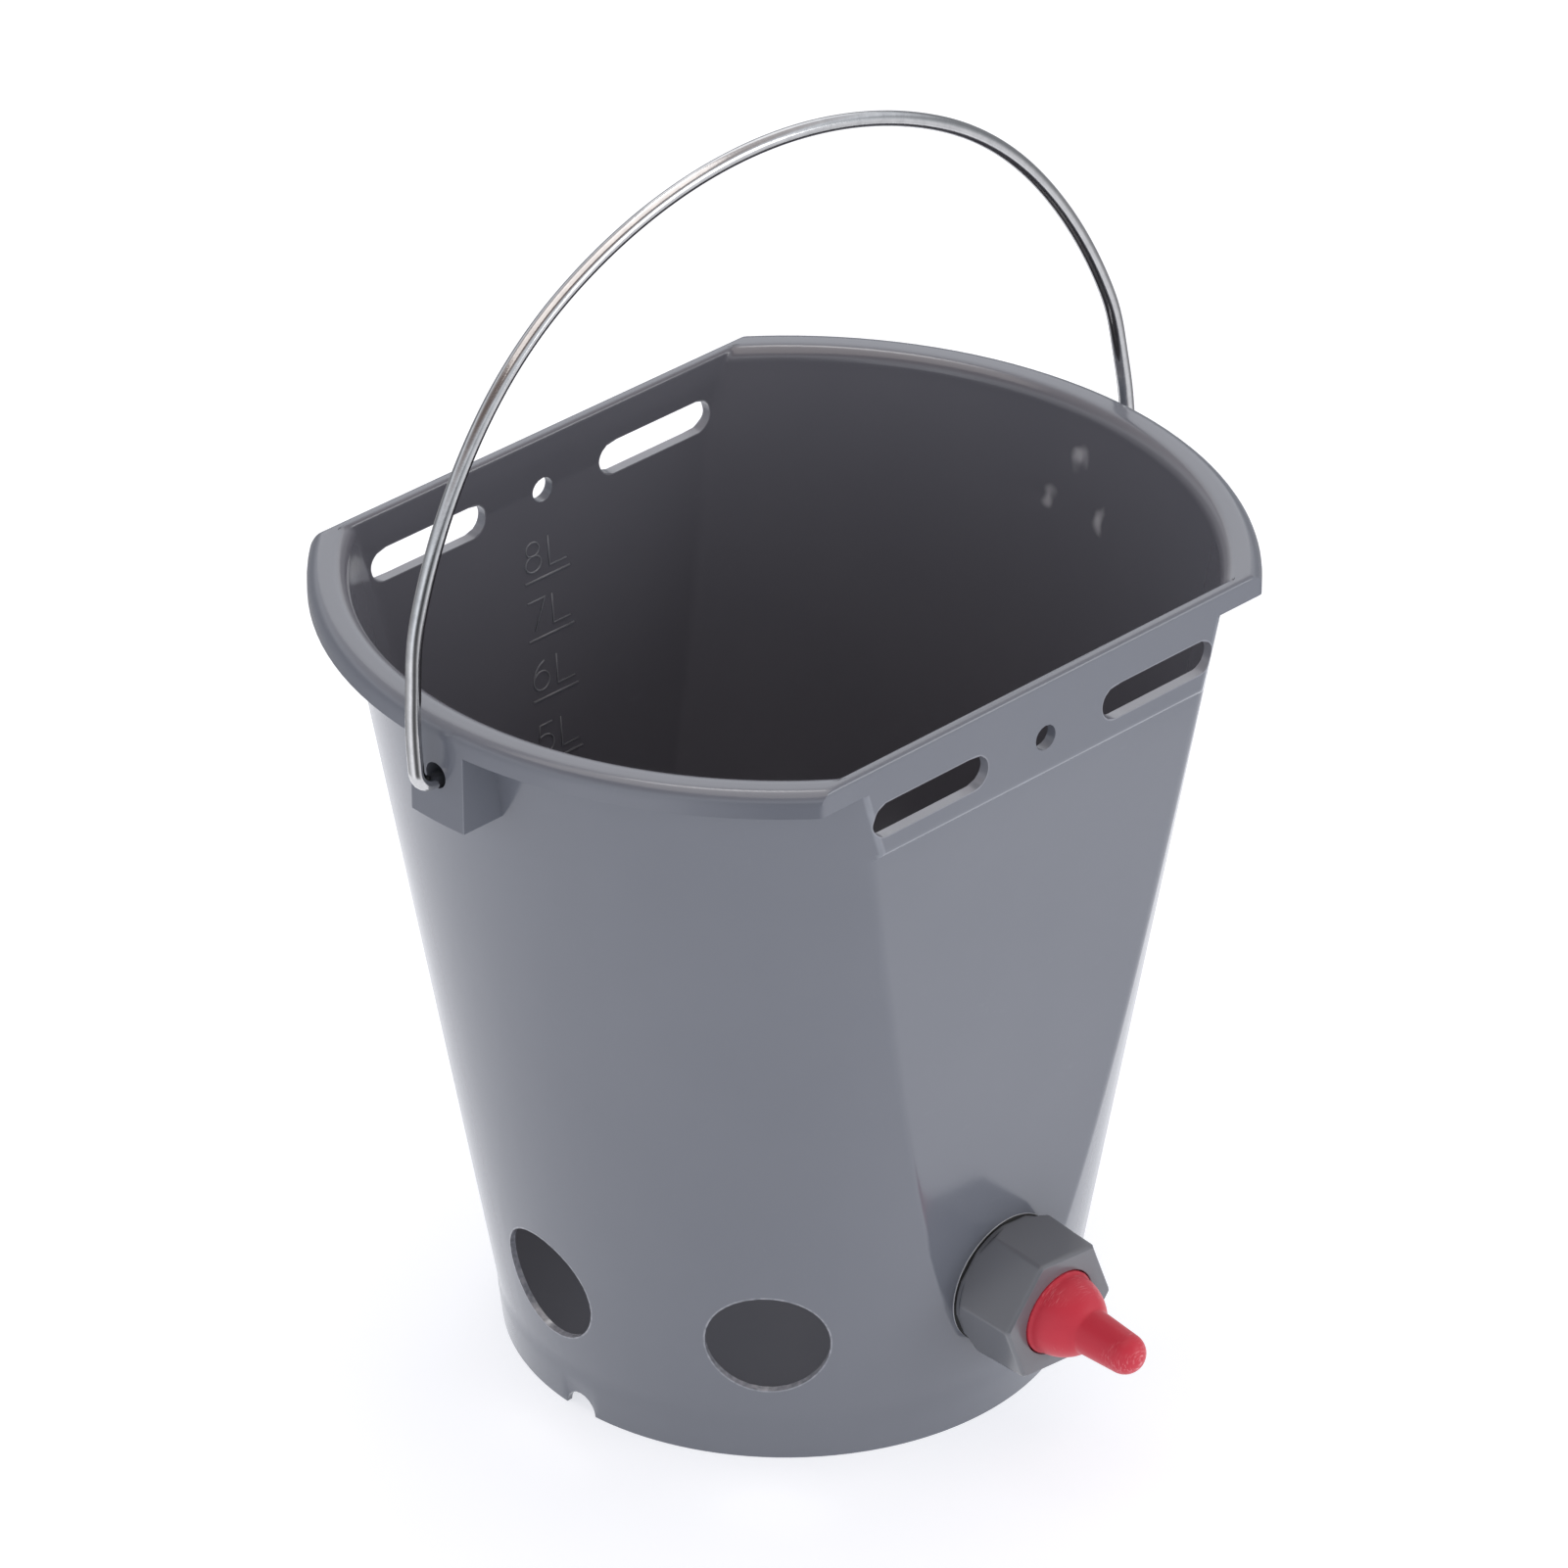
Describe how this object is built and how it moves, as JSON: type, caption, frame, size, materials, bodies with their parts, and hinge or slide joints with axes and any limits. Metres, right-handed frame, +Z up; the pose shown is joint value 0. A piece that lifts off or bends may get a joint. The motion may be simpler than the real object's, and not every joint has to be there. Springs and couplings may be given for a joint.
{
  "type": "calf feeder bucket",
  "caption": "Grey moulded calf feeding bucket with two flat hanging sides, a swinging wire bail, and a red rubber teat held by a hexagon nut over a ball valve.",
  "frame": {"origin": "the middle of the foot ring, on the bucket's axis, on the surface it stands on", "axes": "+Z is up along the bucket's axis; the teat's flat side faces -Y; the bail's pivots lie on the X direction"},
  "size_m": [0.3224, 0.2754, 0.421],
  "materials": {
    "bucket_plastic": "smooth moulded polypropylene, semi-gloss, blue-grey",
    "bail_wire": "bright drawn galvanised steel wire",
    "nut_plastic": "smooth moulded polypropylene, dark grey",
    "teat_rubber": "soft matt red natural rubber",
    "valve_plastic": "moulded polypropylene, light grey",
    "seal_rubber": "black sealing rubber",
    "ball_plastic": "smooth white plastic ball"
  },
  "bodies": {
    "bucket": {"bucket_body": "bucket_plastic", "valve_body": "valve_plastic", "inner_gasket": "seal_rubber", "outer_gasket": "seal_rubber", "ball_cage": "valve_plastic"},
    "bail": {"bail_handle": "bail_wire"},
    "teat_part": {"teat": "teat_rubber"},
    "nut": {"teat_nut": "nut_plastic"},
    "ball": {"valve_ball": "ball_plastic"}
  },
  "joints": [
    {"name": "bail_swing", "type": "hinge", "parent": "bucket", "child": "bail", "pos_m": [0, 0, 0.2607], "axis": [1, 0, 0], "range_deg": [-127, 136]},
    {"name": "nut_turn", "type": "hinge", "parent": "teat_part", "child": "nut", "pos_m": [0, -0.0987, 0.0539], "axis": [0, -0.9975, -0.0713], "range_deg": [0, 2160]},
    {"name": "teat_draw", "type": "slide", "parent": "bucket", "child": "teat_part", "axis": [0, -0.9975, -0.0713], "range_m": [0, 0.01801]},
    {"name": "ball_lift", "type": "slide", "parent": "bucket", "child": "ball", "axis": [0, -0.9975, -0.0713], "range_m": [-0.0039, 0]}
  ],
  "couplings": [
    {"joint": "teat_draw", "follows": "nut_turn", "m_per_rad": 0.00047746}
  ]
}
